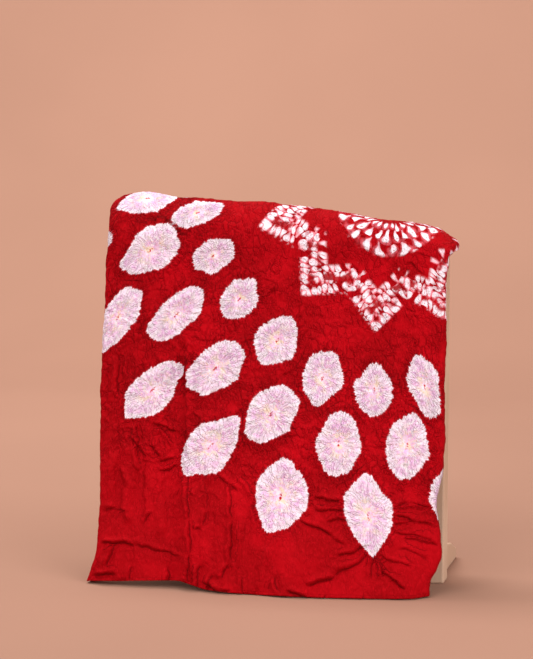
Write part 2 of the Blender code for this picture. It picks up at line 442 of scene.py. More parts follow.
    def stray_line(
        self, sway_seed: int, tremble_seed: int, across: np.ndarray, down: np.ndarray
    ) -> np.ndarray:
        """How far the folds' lines stray, so that none of them is ruled.

        Args:
            sway_seed: seed of the long sway.
            tremble_seed: seed of the short tremble.
            across: places across the cloth, in millimetres.
            down: places down the cloth, in millimetres.

        Returns:
            The distance at each place, in millimetres.
        """
        sway = Ripple(sway_seed, self.sway_size).at(across, down) * self.sway
        return sway + Ripple(tremble_seed, self.tremble_size).at(across, down) * self.tremble

    def lift(
        self, across: np.ndarray, down: np.ndarray, ties: OvalField
    ) -> tuple[np.ndarray, np.ndarray, np.ndarray]:
        """How far the folds lift each place, in millimetres.

        Args:
            across: place across the cloth, in millimetres.
            down: place down the cloth, in millimetres.
            ties: the tied ovals, which the small folds keep off.

        Returns:
            The lift, the distance from the nearest fold's valley line, and that line's strength.
        """
        x = across + self.stray_line(41, 43, across, down)
        y = down + self.stray_line(42, 44, across, down)
        total, strength = np.zeros_like(x), np.zeros_like(x)
        valley, nearest = np.full(x.shape, 99.0), np.full(x.shape, 99.0)
        for from_x, from_y, to_x, to_y, half_width, rise in self.every_row(ties):
            if to_y - from_y > abs(to_x - from_x):
                from_x, from_y, to_x, to_y = to_x, to_y, from_x, from_y
            run_x, run_y = to_x - from_x, to_y - from_y
            length = math.hypot(run_x, run_y)
            run_x, run_y = run_x / length, run_y / length
            along = (x - from_x) * run_x + (y - from_y) * run_y
            off = (y - from_y) * run_x - (x - from_x) * run_y
            to_end = (length - along) / self.end_length
            taper = ease(along / self.end_length + 0.2) * ease(to_end + 0.2)
            fold = np.exp(-((off / half_width) ** 2))
            beside = off - self.hollow_place * half_width
            fold -= self.hollow * np.exp(-((beside / half_width) ** 2))
            total += self.strength * rise * fold * taper
            line = off - self.line_place * half_width
            sharpest = 1.0 if half_width < self.broad else 0.2
            weight = min(max(rise / 3.0, 0.1), sharpest) * taper
            away = np.abs(line) + 12.0 * (1.0 - taper)
            closer = away < nearest
            nearest = np.where(closer, away, nearest)
            valley = np.where(closer, line, valley)
            strength = np.where(closer, weight, strength)
        return total, valley, strength


@dataclass
class Crinkle:
    """The crepe of the cloth: long swells, crumples and the puckers round each tied oval."""

    swell: float = 3.0
    crumple: float = 1.5
    fine: float = 0.8
    pucker: float = 1.5
    dome: float = 2.6
    grain: float = 0.35
    wander: float = 7.0
    wander_size: float = 34.0
    swell_size: float = 74.0
    crumple_size: float = 21.0
    fine_size: float = 11.0
    grain_size: float = 6.5
    pucker_reach: float = 15.0
    folds: int = 19

    def lift(self, across: np.ndarray, down: np.ndarray, ties: OvalField) -> np.ndarray:
        """How far the crepe lifts each place, in millimetres.

        Args:
            across: places across the cloth, in millimetres.
            down: places down the cloth, in millimetres.
            ties: the tied ovals.

        Returns:
            The lift at each place.
        """
        x = across + self.wander * Ripple(11, self.wander_size).at(across, down)
        y = down + self.wander * Ripple(12, self.wander_size).at(across, down)
        a, b, number, past = ties.nearest(across, down)
        calm = 1.0 - 0.45 * ease((down - 440.0) / 80.0) - 0.35 * ease((70.0 - down) / 50.0)
        total = self.swell * Ripple(13, self.swell_size).at(x, y, 1.5)
        calm = calm * (1.0 - 0.6 * ease(-past / 8.0))
        ridged = 1.0 - 2.2 * np.abs(Ripple(14, self.crumple_size).at(x, y, 1.4))
        total += self.crumple * calm * np.clip(ridged, -0.6, 1.0) ** 3
        ridged = 1.0 - 2.4 * np.abs(Ripple(15, self.fine_size).at(x, y, 1.3))
        total += self.fine * calm * np.clip(ridged, -0.5, 1.0)
        total += self.grain * calm * Ripple(16, self.grain_size).at(x, y, 1.3)
        angle = np.arctan2(b, a)
        wave = self.folds * angle + 2.0 * Ripple(17, 30.0).at(across, down) + number
        near = np.exp(-np.maximum(past, 0.0) / self.pucker_reach) * ease((past + 26.0) / 22.0)
        total += self.pucker * near * (np.abs(np.sin(0.5 * wave)) ** 0.6 - 0.6) * 1.6
        inside = ease(-past / 14.0)
        middle = np.exp(-(a * a * 3.0 + b * b * 9.0))
        return total + self.dome * inside * (0.7 - 0.9 * middle)


@dataclass
class Drape:
    """How the cloth hangs over the rail, in millimetres on its middle surface."""

    bend_level: float = 532.0
    bend_front: float = 44.0
    bend_back: float = 44.0
    board_face: float = -19.0
    back_hem: float = 118.0
    back_lean: float = 16.0
    turn_radius: float = 5.0
    lowest: float = 1.4
    ridge: Table = Table(
        ("across", "height"),
        (
            (-292, 612),
            (-270, 624),
            (-243, 627),
            (-200, 622),
            (-160, 618),
            (-60, 615),
            (27, 609),
            (93, 599),
            (172, 587),
            (224, 581),
            (250, 577),
            (276, 563),
            (292, 553),
        ),
    )
    hem: Table = Table(
        ("across", "forward", "height"),
        (
            (-292, 137, 5),
            (-240, 139, 8),
            (-186, 141, 12),
            (-137, 142, 15),
            (-112, 145, 10),
            (-85, 147, 4),
            (-40, 150, 2),
            (20, 151, 2),
            (83, 148, 2),
            (160, 137, 2),
            (236, 121, 2),
            (262, 101, 3),
        ),
    )
    fall: Table = Table(
        ("drop", "flare"),
        ((0.0, 0.0), (0.15, 0.11), (0.42, 0.34), (0.7, 0.62), (0.87, 0.85), (1.0, 1.0)),
    )
    sides: Table = Table(
        ("height", "left", "right"),
        (
            (0, -294, 262),
            (24, -286, 263),
            (45, -280, 273),
            (70, -279, 279),
            (105, -279, 276),
            (143, -280, 268),
            (165, -282, 271),
            (200, -284, 276),
            (240, -287, 277),
            (340, -291, 274),
            (390, -290, 275),
            (450, -290, 274),
            (490, -291, 274),
            (512, -291, 276),
            (560, -288, 281),
            (620, -292, 290),
        ),
    )
    back_sides: Table = Table(
        ("along", "left", "right"),
        ((1.5, -290, 290), (1.8, -290, 262), (2.0, -289, 250), (3.0, -286, 238)),
    )
    margins: Table = Table(
        ("along", "left", "right"),
        (
            (0.0, 26, 12),
            (0.3, 34, 16),
            (0.8, 34, 14),
            (1.0, 30, 12),
            (1.5, 24, 13),
            (2.0, 18, 8),
            (3.0, 12, 8),
        ),
    )
    # Each fold: its top and bottom, its place across at each, its half width and its rise.
    folds: tuple[tuple[float, ...], ...] = (
        (440, 0, -166, -146, 24, -7),
        (220, 0, -128, -127, 16, 7),
        (190, 25, -56, -58, 20, 6),
        (430, 60, -262, -262, 12, 3),
        (420, 80, -232, -236, 13, 3),
        (400, 60, -204, -210, 14, 3),
        (230, 10, 150, 40, 22, 4),
    )

    def line(self, across: np.ndarray, along: np.ndarray) -> tuple[np.ndarray, np.ndarray]:
        """Depth and height of the smooth middle line.

        Args:
            across: places across the cloth.
            along: places along it: 0 to 1 up the front, 1 to 2 over the top, 2 to 3 down the back.

        Returns:
            Depth and height at each place.
        """
        hem = self.hem.read(across, "height")
        stand = self.bend_front + self.board_face
        flare = self.fall.read(1.0 - along, "flare")
        forward = stand + (self.hem.read(across, "forward") - stand) * flare
        front = (self.board_face - forward, hem + (self.bend_level - hem) * along)
        angle = math.pi * np.clip(along - 1.0, 0.0, 1.0)
        reach = np.where(angle < math.pi / 2.0, self.bend_front, self.bend_back)
        rise = self.ridge.read(across, "height") - self.bend_level
        top = (-reach * np.cos(angle), self.bend_level + rise * np.sin(angle))
        down = np.clip(along - 2.0, 0.0, 1.0)
        fall = self.bend_level - self.back_hem
        back = (self.bend_back + self.back_lean * down**2, self.bend_level - fall * down)
        part = [along <= 1.0, along <= 2.0]
        return (
            np.select(part, [front[0], top[0]], back[0]),
            np.select(part, [front[1], top[1]], back[1]),
        )

    def outward(self, across: np.ndarray, along: np.ndarray) -> tuple[np.ndarray, np.ndarray]:
        """Find the unit direction out of the outer face.

        Args:
            across: places across the cloth.
            along: places along it, as line() takes them.

        Returns:
            The direction's depth and height.
        """
        step = 0.004
        y0, z0 = self.line(across, np.maximum(along - step, 0.0))
        y1, z1 = self.line(across, np.minimum(along + step, 3.0))
        length = np.hypot(y1 - y0, z1 - z0)
        return (z0 - z1) / length, (y1 - y0) / length

    def main_folds(self, across: np.ndarray, height: np.ndarray) -> np.ndarray:
        """How far the long folds lift the front.

        Args:
            across: places across the cloth, in millimetres.
            height: their heights, in millimetres.

        Returns:
            The lift at each place.
        """
        lift = np.zeros_like(across)
        for top, bottom, across_top, across_bottom, half_width, rise in self.folds:
            share = (top - height) / (top - bottom)
            middle = across_top + (across_bottom - across_top) * share
            fold = np.exp(-(((across - middle) / half_width) ** 2))
            lift += rise * fold * ease(share * 2.5) * (share < 1.2)
        return lift


@dataclass
class Grid:
    """The cloth's grid of places: rows along it and columns from the left margin to the right."""

    flat_columns: int = 208
    turn_columns: int = 3
    margin_columns: int = 5
    front_rows: int = 232
    bend_rows: int = 48
    back_rows: int = 34

    def columns(self) -> tuple[np.ndarray, np.ndarray, np.ndarray]:
        """Lay out the columns.

        Returns:
            Share of the flat width, share of the turned margin, and side of each column.
        """
        turn = 0.5 * np.arange(1, self.turn_columns + 1) / self.turn_columns
        margin = 0.5 + 0.5 * np.arange(1, self.margin_columns + 1) / self.margin_columns
        beyond = np.concatenate((turn, margin))
        flat = np.linspace(0.0, 1.0, self.flat_columns + 1)
        share = np.concatenate((np.zeros(len(beyond)), flat, np.ones(len(beyond))))
        past = np.concatenate((beyond[::-1], np.zeros(len(flat)), beyond))
        side = np.concatenate((-np.ones(len(beyond)), np.zeros(len(flat)), np.ones(len(beyond))))
        return share, past, side

    def rows(self) -> np.ndarray:
        """Lay out the rows.

        Returns:
            Place along the cloth of each row, as Drape.line() takes it.
        """
        front = np.arange(self.front_rows) / self.front_rows
        bend = 1.0 + np.arange(self.bend_rows) / self.bend_rows
        back = 2.0 + np.arange(self.back_rows + 1) / self.back_rows
        return np.concatenate((front, bend, back))


class Bench:
    """A workbench for one material's nodes."""

    def __init__(self, name: str) -> None:
        """Start a material with a principled shader.

        Args:
            name: the material's name.
        """
        self.material = bpy.data.materials.new(name)
        self.material.use_nodes = True
        self.tree = self.material.node_tree
        self.shader = self.tree.nodes["Principled BSDF"]

    def node(self, kind: str, **settings: object) -> bpy.types.Node:
        """Add a node and set its properties.

        Args:
            kind: the node's type.
            settings: its properties.

        Returns:
            The node.
        """
        made = self.tree.nodes.new(kind)
        for key, value in settings.items():
            setattr(made, key, value)
        return made

    def feed(self, socket: bpy.types.NodeSocket, value: object) -> None:
        """Link a socket to another, or set its constant.

        Args:
            socket: the socket to feed.
            value: another socket, a colour or a number.
        """
        if isinstance(value, bpy.types.NodeSocket):
            self.tree.links.new(value, socket)
        elif isinstance(value, tuple) and len(value) == 3 and socket.type == "RGBA":
            socket.default_value = (*value, 1.0)
        else:
            socket.default_value = value

    def math(self, operation: str, *values: object) -> bpy.types.NodeSocket:
        """Work out one step of arithmetic.

        Args:
            operation: the math node's operation.
            values: what it works on.

        Returns:
            The result.
        """
        made = self.node("ShaderNodeMath", operation=operation)
        for socket, value in zip(made.inputs, values):
            self.feed(socket, value)
        return made.outputs[0]

    def times(self, first: object, *others: object) -> bpy.types.NodeSocket:
        """Multiply values.

        Args:
            first: the first value.
            others: the values it is multiplied by, in turn.

        Returns:
            The product.
        """
        product = first
        for other in others:
            product = self.math("MULTIPLY", product, other)
        return product

    def more(self, base: object, value: object, share: float) -> bpy.types.NodeSocket:
        """A base with a share of a value added."""
        return self.math("MULTIPLY_ADD", value, share, base)

    def centred(self, value: object) -> bpy.types.NodeSocket:
        """A value from 0 to 1 moved to lie about nought."""
        return self.math("SUBTRACT", value, 0.5)

    def vector(self, operation: str, *values: object) -> bpy.types.NodeSocket:
        """Work out one step of vector arithmetic.

        Args:
            operation: the vector math node's operation.
            values: what it works on; a scale goes last.

        Returns:
            The result.
        """
        made = self.node("ShaderNodeVectorMath", operation=operation)
        sockets = [made.inputs[0], made.inputs["Scale"]] if operation == "SCALE" else made.inputs
        for socket, value in zip(sockets, values):
            self.feed(socket, value)
        return made.outputs["Value" if operation in ("LENGTH", "DOT_PRODUCT") else "Vector"]

    def pattern(self, name: Pattern, output: str = "Vector") -> bpy.types.NodeSocket:
        """One of the mesh's pattern attributes."""
        made = self.node("ShaderNodeAttribute", attribute_name=name.value)
        return made.outputs[output]

    def split(self, vector: bpy.types.NodeSocket) -> list[bpy.types.NodeSocket]:
        """Part a vector.

        Args:
            vector: the vector.

        Returns:
            Its three parts.
        """
        made = self.node("ShaderNodeSeparateXYZ")
        self.feed(made.inputs[0], vector)
        return list(made.outputs)

    def join(self, x: object, y: object, z: object = 0.0) -> bpy.types.NodeSocket:
        """Join three parts into a vector.

        Args:
            x: the first part.
            y: the second part.
            z: the third part.

        Returns:
            The vector.
        """
        made = self.node("ShaderNodeCombineXYZ")
        for socket, value in zip(made.inputs, (x, y, z)):
            self.feed(socket, value)
        return made.outputs[0]

    def noise(
        self, vector: object, scale: float, detail: float = 2.0, twist: float = 0.0
    ) -> bpy.types.NodeSocket:
        """Noise from about 0 to 1.

        Args:
            vector: where to read it.
            scale: how many lumps to a unit.
            detail: how many finer layers.
            twist: how far the noise bends itself.

        Returns:
            The noise's value.
        """
        made = self.node("ShaderNodeTexNoise")
        self.feed(made.inputs["Vector"], vector)
        made.inputs["Scale"].default_value = scale
        made.inputs["Detail"].default_value = detail
        made.inputs["Distortion"].default_value = twist
        return made.outputs["Fac"]

    def drift(
        self, vector: object, scale: float, detail: float, size: float
    ) -> bpy.types.NodeSocket:
        """A vector that wanders about nought.

        Args:
            vector: where to read it.
            scale: how many lumps to a unit.
            detail: how many finer layers.
            size: how far it wanders, from end to end.

        Returns:
            The vector.
        """
        made = self.node("ShaderNodeTexNoise")
        self.feed(made.inputs["Vector"], vector)
        made.inputs["Scale"].default_value = scale
        made.inputs["Detail"].default_value = detail
        about_nought = self.vector("SUBTRACT", made.outputs["Color"], (0.5, 0.5, 0.5))
        return self.vector("SCALE", about_nought, size)

    def ramp(
        self, value: object, low: float, high: float, start: float = 0.0, end: float = 1.0
    ) -> bpy.types.NodeSocket:
        """Smoothly carry a value's range from low to high onto start to end.

        Args:
            value: the value.
            low: where its range starts.
            high: where its range ends.
            start: the result at low and before it.
            end: the result at high and past it.

        Returns:
            The result.
        """
        made = self.node("ShaderNodeMapRange", interpolation_type="SMOOTHSTEP")
        for name, number in (
            ("Value", value),
            ("From Min", low),
            ("From Max", high),
            ("To Min", start),
            ("To Max", end),
        ):
            self.feed(made.inputs[name], number)
        return made.outputs[0]

    def blend(self, share: object, first: object, second: object) -> bpy.types.NodeSocket:
        """Mix two colours.

        Args:
            share: how much of the second shows, from 0 to 1.
            first: the first colour.
            second: the second colour.

        Returns:
            The mixed colour.
        """
        made = self.node("ShaderNodeMix", data_type="RGBA")
        for index, value in ((0, share), (6, first), (7, second)):
            self.feed(made.inputs[index], value)
        return made.outputs[2]

    def cracks(
        self, vector: object, scale: float, width: float
    ) -> tuple[bpy.types.NodeSocket, bpy.types.NodeSocket]:
        """Small pillows with thin creases between them.

        Args:
            vector: where to read them.
            scale: how many pillows to a unit.
            width: how wide the crease is, as a share of a pillow.

        Returns:
            The pillows' height and the crease, each from 0 to 1.
        """
        made = self.node(
            "ShaderNodeTexVoronoi", feature="DISTANCE_TO_EDGE", voronoi_dimensions="2D"
        )
        self.feed(made.inputs["Vector"], vector)
        made.inputs["Scale"].default_value = scale
        inward = made.outputs["Distance"]
        return self.ramp(inward, 0.0, 0.3), self.ramp(inward, 0.0, width, 1.0, 0.0)

    def bump(self, height: object, depth: float) -> None:
        """Give the shader a bump.

        Args:
            height: how high each place is.
            depth: what a height of 1 is, in metres.
        """
        made = self.node("ShaderNodeBump")
        made.inputs["Distance"].default_value = depth
        self.feed(made.inputs["Height"], height)
        self.feed(self.shader.inputs["Normal"], made.outputs[0])


@dataclass(frozen=True)
class Crepe:
    """The ground's crepe: lumps to a metre, reliefs and widths in millimetres, painted crease shade
    as shares.
    """

    pillows: float = 78.0
    pillow_seam: float = 0.045
    small_pillows: float = 200.0
    small_seam: float = 0.085
    threads: float = 900.0
    pillow_relief: float = 1.5
    small_relief: float = 1.0
    seam_relief: float = -0.35
    wrinkle_relief: float = 0.2
    warp_relief: float = 0.5
    weft_relief: float = 0.14
    fold_relief: float = -1.4
    fold_line: float = 1.7
    fold_hollow: float = 2.8
    seam_shade: float = 0.6
    small_seam_shade: float = 0.55
    fold_line_shade: float = 0.7


@dataclass(frozen=True)
class OvalLook:
    """How a tied oval looks: waves of its outline and reliefs in millimetres, tints and painted
    shade as shares.
    """

    teeth: float = 7.0
    barbs: float = 3.6
    nibs: float = 2.6
    outline: float = 0.45
    bleed: float = 2.4
    bleed_tint: float = 0.32
    shade_tint: float = 0.16
    pleat_shade: float = 0.06
    ground_pleat_shade: float = 0.55
    streak_relief: float = 0.9
    fine_relief: float = 0.7
    pleat_relief: float = 1.2
    line_relief: float = -0.2


@dataclass(frozen=True)
class KnotLook:
    """How a tied knot looks, in shares of its place in the row."""

    jitter_along: float = 0.26
    jitter_across: float = 0.34
    narrow_end: float = 0.17
    wide_end: float = 0.56
    half_length: float = 0.58
    burst_slim: float = 0.42
    burst_hold: float = 0.4
    burst_dimming: float = 0.6
    dot_place: float = 0.2
    relief: float = 0.7


@dataclass(frozen=True)
class ClothFinish:
    """Deep red crinkled cloth with its tied ovals and knots, sizes in metres."""

    red: Colour = (0.38, 0.0011, 0.0048)
    red_deep: Colour = (0.265, 0.0006, 0.0027)
    # Painted highlight red for the crepe's raised wrinkles.
    painted_highlight_red: Colour = (0.46, 0.0022, 0.0080)
    # Painted shade for the creases: the dark red laid along crepe seams, fold valleys and pleat
    # lines.
    painted_crease_shade: Colour = (0.085, 0.0003, 0.001)
    white: Colour = (0.735, 0.645, 0.71)
    lilac: Colour = (0.69, 0.385, 0.625)
    cream: Colour = (0.73, 0.60, 0.47)
    fleck: Colour = (0.86, 0.36, 0.16)
    eye: Colour = (0.42, 0.008, 0.014)
    halo: Colour = (0.74, 0.20, 0.25)
    # Lilac-grey painted shade for the ovals' pleat lines and fine wrinkles.
    shade: Colour = (0.66, 0.36, 0.48)
    sheen: float = 0.012
    sheen_roughness: float = 0.45
    sheen_tint: Colour = (1.0, 0.3, 0.3)
    roughness: float = 0.7
    specular: float = 0.03
    crepe: Crepe = Crepe()
    oval_look: OvalLook = OvalLook()
    knot_look: KnotLook = KnotLook()

    def make(self) -> bpy.types.Material:
        """Build the cloth's material.

        Returns:
            The material.
        """
        bench = Bench("bandhani_dye")
        flat = bench.pattern(Pattern.FLAT)
        colour, height = self.ground(bench, flat)
        colour, height = self.add_ovals(bench, flat, colour, height)
        colour, height = self.add_knots(bench, flat, colour, height)
        height = self.add_hem(bench, height)
        shader = bench.shader
        bench.feed(shader.inputs["Base Color"], colour)
        shader.inputs["Roughness"].default_value = self.roughness
        shader.inputs["Specular IOR Level"].default_value = self.specular
        shader.inputs["Sheen Weight"].default_value = self.sheen
        shader.inputs["Sheen Roughness"].default_value = self.sheen_roughness
        shader.inputs["Sheen Tint"].default_value = (*self.sheen_tint, 1.0)
        bench.bump(height, MM)
        return bench.material

    def ground(self, bench: Bench, flat: bpy.types.NodeSocket) -> tuple[object, object]:
        """Make the dyed red ground.

        Args:
            bench: the material's workbench.
            flat: places on the flat cloth, in metres.

        Returns:
            Its uneven colour, and the crepe's height in millimetres.
        """
        crepe = self.crepe
        across, down, _ = bench.split(flat)
        place = bench.vector("ADD", flat, bench.drift(flat, 55.0, 2.0, 0.016))
        place_x, place_y, _ = bench.split(place)
        tall = bench.join(bench.times(place_x, 1.25), bench.times(place_y, 0.72))
        calm = bench.ramp(down, 0.41, 0.50, 1.0, 0.4)
        often = bench.times(bench.ramp(bench.noise(flat, 30.0), 0.42, 0.58, 0.12, 1.0), calm)
        sparse = bench.times(bench.ramp(bench.noise(flat, 47.0), 0.58, 0.42, 0.1, 0.8), calm)
        pillow, seam = bench.cracks(tall, crepe.pillows, crepe.pillow_seam)
        small_pillow, small_seam = bench.cracks(tall, crepe.small_pillows, crepe.small_seam)
        seam, small_seam = bench.times(seam, often), bench.times(small_seam, sparse)
        wrinkle = bench.noise(bench.join(bench.times(across, 1.7), down), 150.0, 2.0, 0.3)
        warp = bench.noise(bench.join(across, bench.times(down, 0.16)), crepe.threads, 1.0)
        weft = bench.noise(bench.join(bench.times(across, 0.2), down), crepe.threads, 1.0)
        valley, strength, _ = bench.split(bench.pattern(Pattern.CREASE))
        valley = bench.math("ABSOLUTE", valley)
        line = bench.times(bench.ramp(valley, 0.1 * MM, crepe.fold_line * MM, 1.0, 0.0), strength)
        hollow = bench.times(bench.ramp(valley, 0.0, crepe.fold_hollow * MM, 1.0, 0.0), strength)
        height = bench.times(bench.times(pillow, often), crepe.pillow_relief)
        height = bench.more(height, bench.times(small_pillow, sparse), crepe.small_relief)
        height = bench.more(height, seam, crepe.seam_relief)
        height = bench.more(height, bench.times(wrinkle, calm), crepe.wrinkle_relief)
        height = bench.more(height, warp, crepe.warp_relief)
        height = bench.more(height, weft, crepe.weft_relief)
        height = bench.more(height, hollow, crepe.fold_relief)
        tone_and_top_shade = bench.ramp(bench.noise(flat, 14.0, 3.0), 0.36, 0.66)
        # Random patches of deeper red, deeper towards the left side and towards the bottom; within
        # 100 mm of the top line, front and back, the deeper red is painted shade.
        left = bench.ramp(across, -0.29, -0.12, 0.4, 1.0)
        low = bench.ramp(down, 0.44, 0.56, 1.0, 0.72)
        painted_top_shade = bench.ramp(bench.math("ABSOLUTE", down), 0.0, 0.10, 0.25, 1.0)
        tone_and_top_shade = bench.times(tone_and_top_shade, bench.times(left, low, painted_top_shade))
        colour = bench.blend(tone_and_top_shade, self.red_deep, self.red)
        # Painted highlight: brighter red where the crepe's wrinkles and warp threads stand highest.
        lit = bench.ramp(bench.times(wrinkle, warp), 0.22, 0.42, 0.0, 0.5)
        colour = bench.blend(lit, colour, self.painted_highlight_red)
        # Painted shade: darker red along the crepe's seams and the folds' valley lines, where shade
        # falls.
        seam = bench.times(seam, crepe.seam_shade)
        small_seam = bench.times(small_seam, crepe.small_seam_shade)
        crease_shade = bench.math("MAXIMUM", seam, small_seam)
        crease_shade = bench.math("MAXIMUM", crease_shade, bench.times(line, crepe.fold_line_shade))
        return bench.blend(crease_shade, colour, self.painted_crease_shade), height

    def add_ovals(
        self, bench: Bench, flat: object, ground: object, height: object
    ) -> tuple[object, object]:
        """Lay the tied ovals on the ground, each with a serrated outline.

        Args:
            bench: the material's workbench.
            flat: places on the flat cloth, in metres.
            ground: the colour so far.
            height: the height so far, in millimetres.

        Returns:
            The colour and the height.
        """
        look = self.oval_look
        along, across, number = bench.split(bench.pattern(Pattern.OVAL))
        past = bench.times(bench.pattern(Pattern.OVAL_EDGE, "Fac"), 1.0 / MM)
        place = bench.join(along, across)
        radius = bench.vector("LENGTH", place)
        turn_x, turn_y, _ = bench.split(bench.vector("NORMALIZE", place))
        spoke = bench.join(turn_x, turn_y, bench.times(number, 3.7))
        edge = bench.more(past, bench.centred(bench.noise(spoke, 7.5, 1.0)), look.teeth)
        edge = bench.more(edge, bench.centred(bench.noise(spoke, 15.0, 1.0)), look.barbs)
        edge = bench.more(edge, bench.centred(bench.noise(flat, 420.0, 1.0)), look.nibs)
        reach = bench.join(turn_x, turn_y, bench.more(number, radius, 0.42))
        reach = bench.vector("ADD", reach, bench.drift(flat, 70.0, 2.0, 0.34))
        streak = bench.noise(reach, 14.0, 2.0, 0.3)
        fine = bench.noise(reach, 30.0, 1.0)
        spread = bench.math("ABSOLUTE", bench.centred(bench.noise(reach, 6.5, 1.0, 0.2)))
        open_middle = bench.ramp(radius, 0.1, 0.55)
        near_outline = bench.ramp(past, 2.0, 26.0, 1.0, 0.0)
        pleat_line = bench.times(bench.ramp(spread, 0.0, 0.05, 1.0, 0.0), near_outline, open_middle)
        colour = self.oval_colour(bench, flat, (along, across, radius, past), (streak, fine))
        # Painted shade along the pleat lines: lilac-grey on the oval, dark red on the ground round
        # it.
        colour = bench.blend(bench.times(pleat_line, look.pleat_shade), colour, self.shade)
        ground = bench.blend(bench.times(pleat_line, look.ground_pleat_shade), ground, self.painted_crease_shade)
        bleed = bench.ramp(edge, 0.0, look.bleed, look.bleed_tint, 0.0)
        ground = bench.blend(bleed, ground, self.halo)
        mask = bench.ramp(edge, -look.outline, look.outline, 1.0, 0.0)
        folds = bench.more(bench.times(streak, look.streak_relief), fine, look.fine_relief)
        folds = bench.more(folds, bench.ramp(spread, 0.0, 0.14), look.pleat_relief)
        folds = bench.more(folds, pleat_line, look.line_relief)
        folds = bench.times(folds, bench.ramp(past, 0.0, 22.0, 1.0, 0.0), open_middle)
        height = bench.times(height, bench.ramp(past, -8.0, 3.0, 0.75, 1.0))
        return bench.blend(mask, ground, colour), bench.math("ADD", height, folds)

    def oval_colour(
        self, bench: Bench, flat: object, place: tuple[object, ...], grain: tuple[object, object]
    ) -> object:
        """The undyed cloth of an oval: lilac mottling, cream patches, painted shade on the fine
        wrinkles, flecks and a red eye.

        Args:
            bench: the material's workbench.
            flat: places on the flat cloth, in metres.
            place: share of the half length and half width, radius, and distance past the outline.
            grain: the coarse and the fine radial streaks.

        Returns:
            The colour.
        """
        along, across, radius, past = place
        streak, fine = grain
        mottle = bench.ramp(bench.noise(flat, 120.0, 2.0, 0.6), 0.32, 0.58)
        cloud = bench.ramp(bench.noise(flat, 42.0, 3.0, 0.4), 0.34, 0.58, 0.38, 1.0)
        rim = bench.ramp(past, -11.0, -2.0, 1.0, 0.12)
        tint = bench.times(bench.ramp(streak, 0.3, 0.62, 0.62, 1.0), mottle, cloud, rim)
        colour = bench.blend(tint, self.white, self.lilac)
        patches = bench.ramp(bench.noise(flat, 90.0), 0.46, 0.68)
        warm = bench.times(bench.ramp(radius, 0.1, 0.85, 1.0, 0.1), patches)
        colour = bench.blend(warm, colour, self.cream)
        # Painted shade: lilac-grey along the fine radial wrinkles.
        shade = bench.times(bench.ramp(fine, 0.56, 0.72), self.oval_look.shade_tint)
        colour = bench.blend(shade, colour, self.shade)
        grains = bench.ramp(bench.noise(flat, 480.0, 1.0), 0.61, 0.68)
        specks = bench.times(grains, bench.ramp(radius, 0.2, 0.85, 0.8, 0.0))
        colour = bench.blend(specks, colour, self.fleck)
        spine = bench.vector("LENGTH", bench.join(bench.times(along, 0.55), across))
        torn = bench.ramp(bench.noise(flat, 300.0, 1.0), 0.45, 0.53)
        eye = bench.times(bench.ramp(spine, 0.035, 0.08, 1.0, 0.0), torn)
        return bench.blend(eye, colour, self.eye)

    def add_knots(
        self, bench: Bench, flat: object, ground: object, height: object
    ) -> tuple[object, object]:
        """Lay the rows of tied knots on the ground, each a pale lozenge with a dark middle.

        Args:
            bench: the material's workbench.
            flat: places on the flat cloth, in metres.
            ground: the colour so far.
            height: the height so far, in millimetres.

        Returns:
            The colour and the height.
        """
        look = self.knot_look
        knots, rows, share = bench.split(bench.pattern(Pattern.KNOT))
        burst = bench.split(bench.pattern(Pattern.CREASE))[2]
        sway_x, sway_y, _ = bench.split(bench.drift(flat, 42.0, 1.0, 1.7))
        rows = bench.more(rows, sway_y, 0.6)
        row = bench.math("FLOOR", rows)
        knots = bench.more(knots, row, 0.5)
        held = bench.more(1.0, burst, -look.burst_hold)
        knots = bench.math("ADD", knots, bench.times(sway_x, held))
        chance = bench.node("ShaderNodeTexWhiteNoise", noise_dimensions="2D")
        bench.feed(chance.inputs["Vector"], bench.join(bench.math("FLOOR", knots), row))
        luck_x, luck_y, luck = bench.split(chance.outputs["Color"])
        x = bench.centred(bench.math("FRACT", knots))
        x = bench.more(x, bench.centred(luck_x), look.jitter_along)
        y = bench.centred(bench.math("FRACT", rows))
        y = bench.more(y, bench.centred(luck_y), look.jitter_across)
        turned = bench.math("GREATER_THAN", bench.math("SUBTRACT", luck, burst), 0.5)
        y = bench.times(y, bench.more(1.0, turned, -2.0))
        slim = bench.more(1.0, burst, -look.burst_slim)
        width = bench.times(bench.ramp(y, -0.55, 0.25, look.narrow_end, look.wide_end), slim)
        wide = bench.math("POWER", bench.math("ABSOLUTE", bench.math("DIVIDE", x, width)), 1.5)
        tip = bench.math("DIVIDE", bench.math("ADD", y, 0.1), look.half_length)
        long = bench.math("POWER", bench.math("ABSOLUTE", tip), 3.0)
        reach = bench.math("ADD", wide, long)
        reach = bench.more(reach, bench.centred(bench.noise(flat, 480.0, 1.0)), 0.5)
        share = bench.times(share, bench.ramp(luck_x, 0.03, 0.06))
        head = bench.ramp(y, -0.55, 0.0, 0.35, 1.0)
        knot = bench.times(bench.ramp(reach, 0.6, 1.15, 1.0, 0.0), share, head)
        patches = bench.ramp(bench.noise(flat, 60.0, 1.0), 0.34, 0.56)
        dimmed = bench.more(1.0, burst, -look.burst_dimming)
        glow = bench.times(bench.ramp(reach, 0.9, 3.2, 1.0, 0.0), share, patches, dimmed)
        off_dot = bench.vector("LENGTH", bench.join(x, bench.math("SUBTRACT", y, look.dot_place)))
        dotted = bench.math("GREATER_THAN", luck_y, 0.45)
        dot = bench.times(bench.ramp(off_dot, 0.03, 0.07, 0.75, 0.0), share, dotted)
        colour = bench.blend(glow, ground, self.halo)
        colour = bench.blend(knot, colour, self.white)
        colour = bench.blend(dot, colour, self.eye)
        return colour, bench.more(height, bench.math("SUBTRACT", knot, dot), look.relief)

